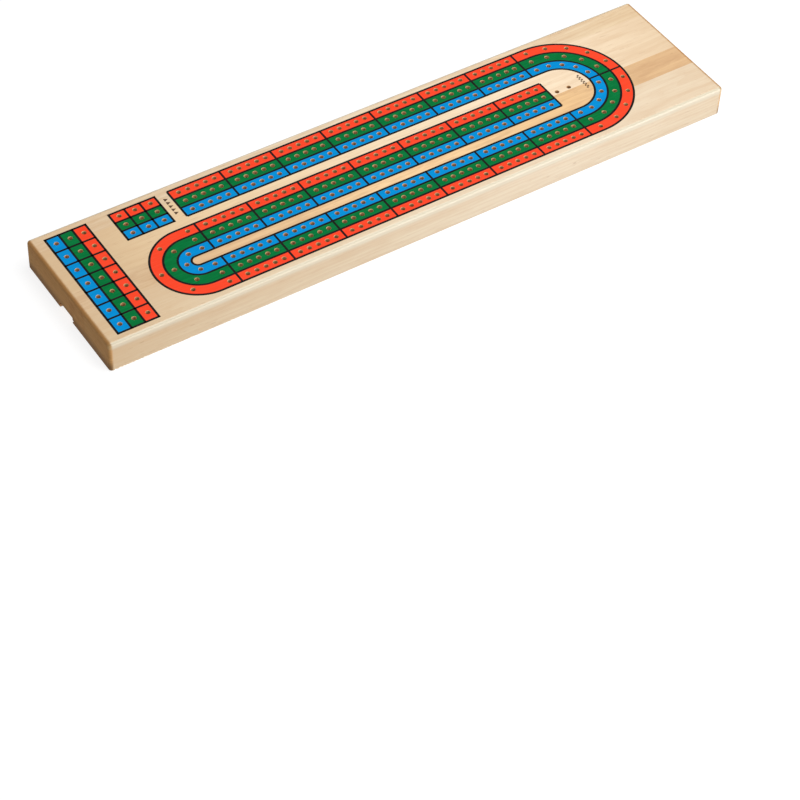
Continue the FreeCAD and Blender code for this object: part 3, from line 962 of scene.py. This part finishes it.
def makeDome(name, place, floor):
    # a smooth round swelling, ring by ring
    bpy.ops.mesh.primitive_circle_add(vertices=cover["dimpleSides"], radius=cover["dimpleRadius"],
                                      fill_type="NGON", location=(*place, floor - cover["eased"]))
    dome = settle(newest(name))
    editAll(dome)
    level, size = floor - cover["eased"], 1.0
    for ring in range(cover["dimpleRings"]):
        share = ring / cover["dimpleRings"]
        height = floor + cover["dimpleHeight"] * (0.5 - 0.5 * math.cos(math.pi * share))
        bpy.ops.mesh.extrude_region_move(
            TRANSFORM_OT_translate={"value": (0, 0, height - level)})
        bpy.ops.transform.resize(value=((1 - share) / size,) * 2 + (1,),
                                 center_override=(*place, height))
        level, size = height, 1 - share
    leaveEdit()
    facingOut(dome)
    return dome


def makeCover():
    low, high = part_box("slide_cover")
    middle, half = (low.y + high.y) / 2, (high.y - low.y) / 2
    bpy.ops.mesh.primitive_plane_add(size=1, location=((low.x + high.x) / 2, middle, low.z))
    plate = newest("nickel_slide_cover")
    plate.scale = (high.x - low.x, high.y - low.y, 1)
    settle(plate)
    for wanted, radius, steps in (
            (lambda c: c[0].x < low.x + hair, cover["cornerRadius"], cover["cornerSteps"]),
            (lambda c: c[0].x > high.x - hair, half - hair, cover["endSteps"])):
        editWhere(plate, "VERT", wanted)
        bpy.ops.mesh.bevel(offset=radius, segments=steps, affect="VERTICES")
        leaveEdit()
    editAll(plate)
    bpy.ops.mesh.extrude_region_move(
        TRANSFORM_OT_translate={"value": (0, 0, cover["thickness"])})
    leaveEdit()
    facingOut(plate)
    editWhere(plate, "EDGE", lambda c: abs(c[0].z - c[1].z) < hair)
    bpy.ops.mesh.bevel(offset=cover["eased"], segments=cover["easedSteps"], affect="EDGES",
                       clamp_overlap=False)
    leaveEdit()
    place = (low.x + cover["dimpleInset"], middle)
    dome = makeDome("dome", place, low.z + cover["thickness"])
    dish = makeDome("dish", place, low.z)
    applyModifier(plate, "BOOLEAN", operation="UNION", solver="EXACT", object=dome)
    applyModifier(plate, "BOOLEAN", operation="DIFFERENCE", solver="EXACT", object=dish)
    for used in (dome, dish):
        bpy.data.objects.remove(used)
    plate.data.materials.append(nickelSteel)
    smooth(plate, cover["creaseAngle"])
    finished(plate, "slide", "nickel_steel", ["slide_cover"])


makeCover()
print("cover made")


# the pegs: one moulded peg, copied nine times

peg = dict(sides=24, creaseAngle=40,
           tones={"blue": ("#1A6FD0", "#155FB8"), "green": ("#1C8A4C", "#17763F"),
                  "red": ("#D8352A", "#C22A22")},
           # share of the length, share of the head's radius
           profile=((0.0, 0.30), (0.006, 0.46), (0.018, 0.52), (0.50, 0.70), (0.535, 0.72),
                    (0.545, 0.90), (0.56, 1.0), (0.64, 1.0), (0.655, 0.86), (0.675, 0.86),
                    (0.69, 1.0), (0.90, 1.0), (0.945, 0.97), (0.975, 0.88), (0.993, 0.66),
                    (1.0, 0.38)))


def makePeg(low, high):
    length, radius = high.x - low.x, (high.y - low.y) / 2
    centre = (low + high) / 2
    first = peg["profile"][0][1]
    bpy.ops.mesh.primitive_circle_add(vertices=peg["sides"], radius=radius * first,
                                      fill_type="NGON", rotation=(0, math.pi / 2, 0),
                                      location=(low.x, centre.y, centre.z))
    shape = settle(newest("peg"))
    editAll(shape)
    place, size = 0.0, first
    for share, width in peg["profile"][1:]:
        bpy.ops.mesh.extrude_region_move(
            TRANSFORM_OT_translate={"value": ((share - place) * length, 0, 0)})
        bpy.ops.transform.resize(value=(1, width / size, width / size),
                                 center_override=(low.x + share * length, centre.y, centre.z))
        place, size = share, width
    leaveEdit()
    facingOut(shape)
    smooth(shape, peg["creaseAngle"])
    return shape


def makePegs():
    names = sorted(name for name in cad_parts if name.startswith("peg_"))
    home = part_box(names[0])
    pattern = makePeg(*home)
    for name in names:
        colour = name.split("_")[1]
        material = bpy.data.materials.get(f"{colour}_polystyrene") or makePegPlastic(
            f"{colour}_polystyrene", *peg["tones"][colour])
        piece = copyOf(pattern, name.replace("peg", "moulded_peg"))
        piece.data.transform(Matrix.Translation(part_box(name)[0] - home[0]))
        piece.data.materials.append(material)
        finished(piece, "board", f"peg_{colour}", [name])
    bpy.data.objects.remove(pattern)


makePegs()
print("pegs made")


# the end

print("all made")
